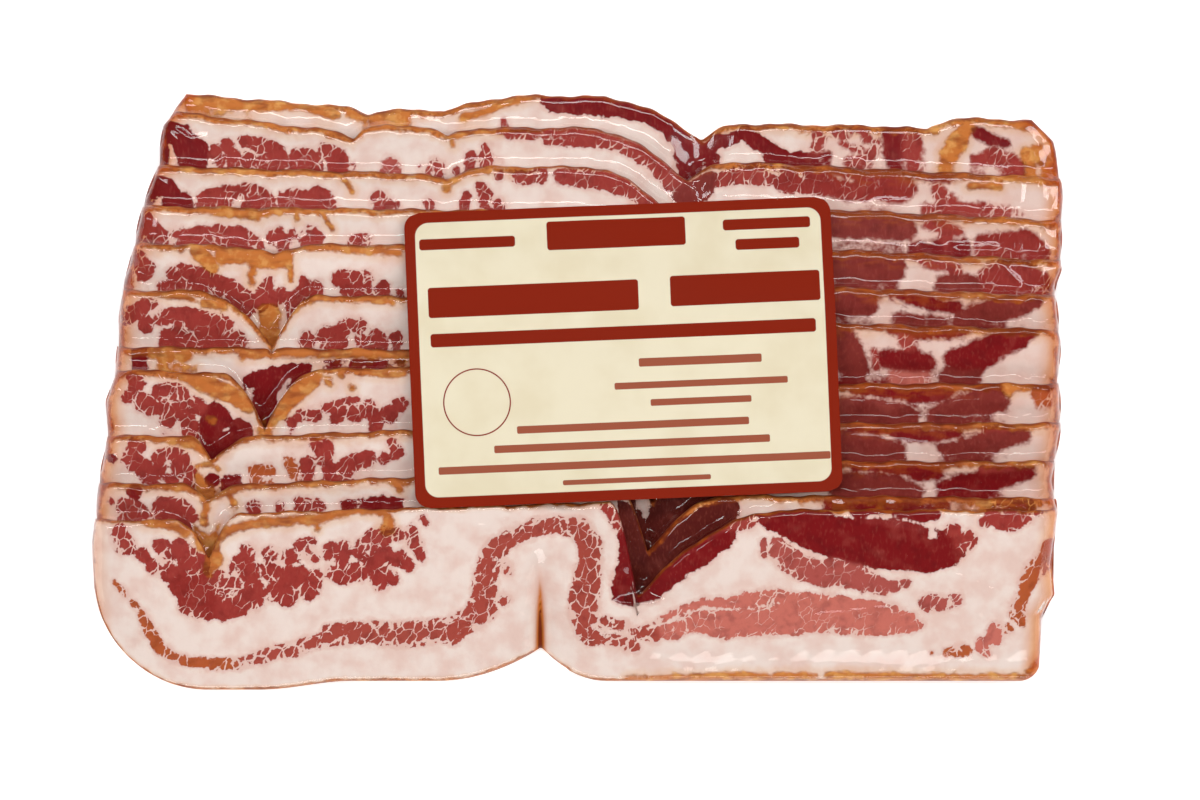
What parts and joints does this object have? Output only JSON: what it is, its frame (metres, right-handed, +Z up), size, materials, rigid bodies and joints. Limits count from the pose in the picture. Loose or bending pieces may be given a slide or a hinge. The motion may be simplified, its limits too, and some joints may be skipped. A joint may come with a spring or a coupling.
{
  "type": "bacon pack",
  "caption": "Flat vacuum pack of shingled bacon slices in tight clear film, with a paper label across its middle.",
  "frame": {"origin": "centre of the bottom of the bounding box, on the surface the pack lies on", "axes": "+X along the slices, to the right as shown; +Y from the front slice to the rear one; +Z up, out of the shown side"},
  "size_m": [0.2306, 0.1428, 0.0211],
  "materials": {
    "vacuum_bag": "glossy clear film over fatty and lean meat",
    "label": "satin cream paper with a rust-red border"
  },
  "bodies": {
    "root": {"vacuum_bag": "vacuum_bag", "label": "label"}
  },
  "joints": []
}
